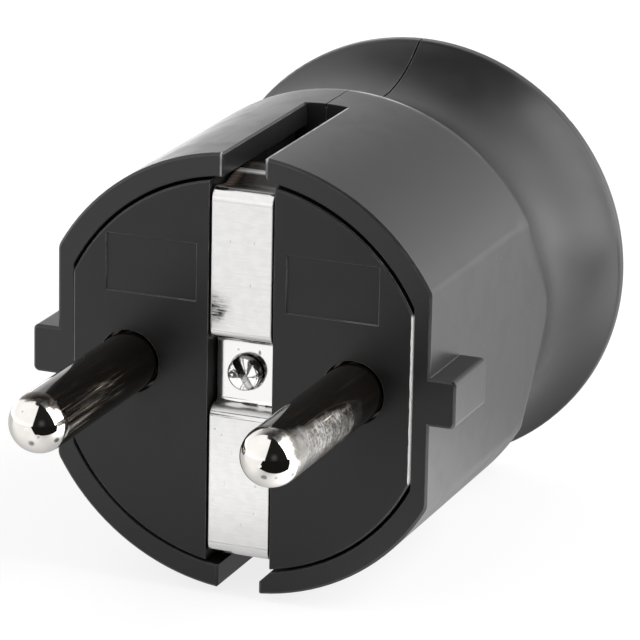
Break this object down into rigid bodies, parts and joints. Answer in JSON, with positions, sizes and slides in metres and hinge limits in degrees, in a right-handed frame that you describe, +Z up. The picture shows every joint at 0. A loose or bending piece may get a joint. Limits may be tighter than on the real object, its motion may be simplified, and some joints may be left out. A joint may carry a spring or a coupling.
{
  "type": "mains plug",
  "caption": "Rewirable round mains plug with side earth contacts: moulded half shells with a waisted grip hold a slotted carrier with round contact pins and a bent earth strap.",
  "frame": {"origin": "centre of the engagement face, midway between the axes of the contact pins", "axes": "-Y along the pins towards their tips, +Y towards the cord entry, +Z up through the upper earth contact, +X to the right seen from the pins' side"},
  "size_m": [0.037, 0.0593, 0.037],
  "materials": {
    "housing": "satin moulded thermoplastic, dark grey",
    "carrier": "fine matt moulding, charcoal",
    "pin_plating": "bright nickel plating on turned brass",
    "strap_plating": "nickel plating on rolled brass strip",
    "screw_steel": "plated steel",
    "terminal_brass": "plain machined brass"
  },
  "bodies": {
    "root": {"shell_left": "housing", "shell_right": "housing", "pin_carrier": "carrier", "pin_left": "pin_plating", "pin_right": "pin_plating", "earth_strap": "strap_plating", "centre_screw": "screw_steel", "centre_nut": "screw_steel", "terminal_screw_left": "screw_steel", "terminal_screw_right": "screw_steel", "earth_terminal": "terminal_brass", "earth_terminal_screw": "screw_steel", "earth_rivet": "strap_plating", "cord_clamp": "carrier", "clamp_screw_upper": "screw_steel", "clamp_screw_lower": "screw_steel"}
  },
  "joints": []
}
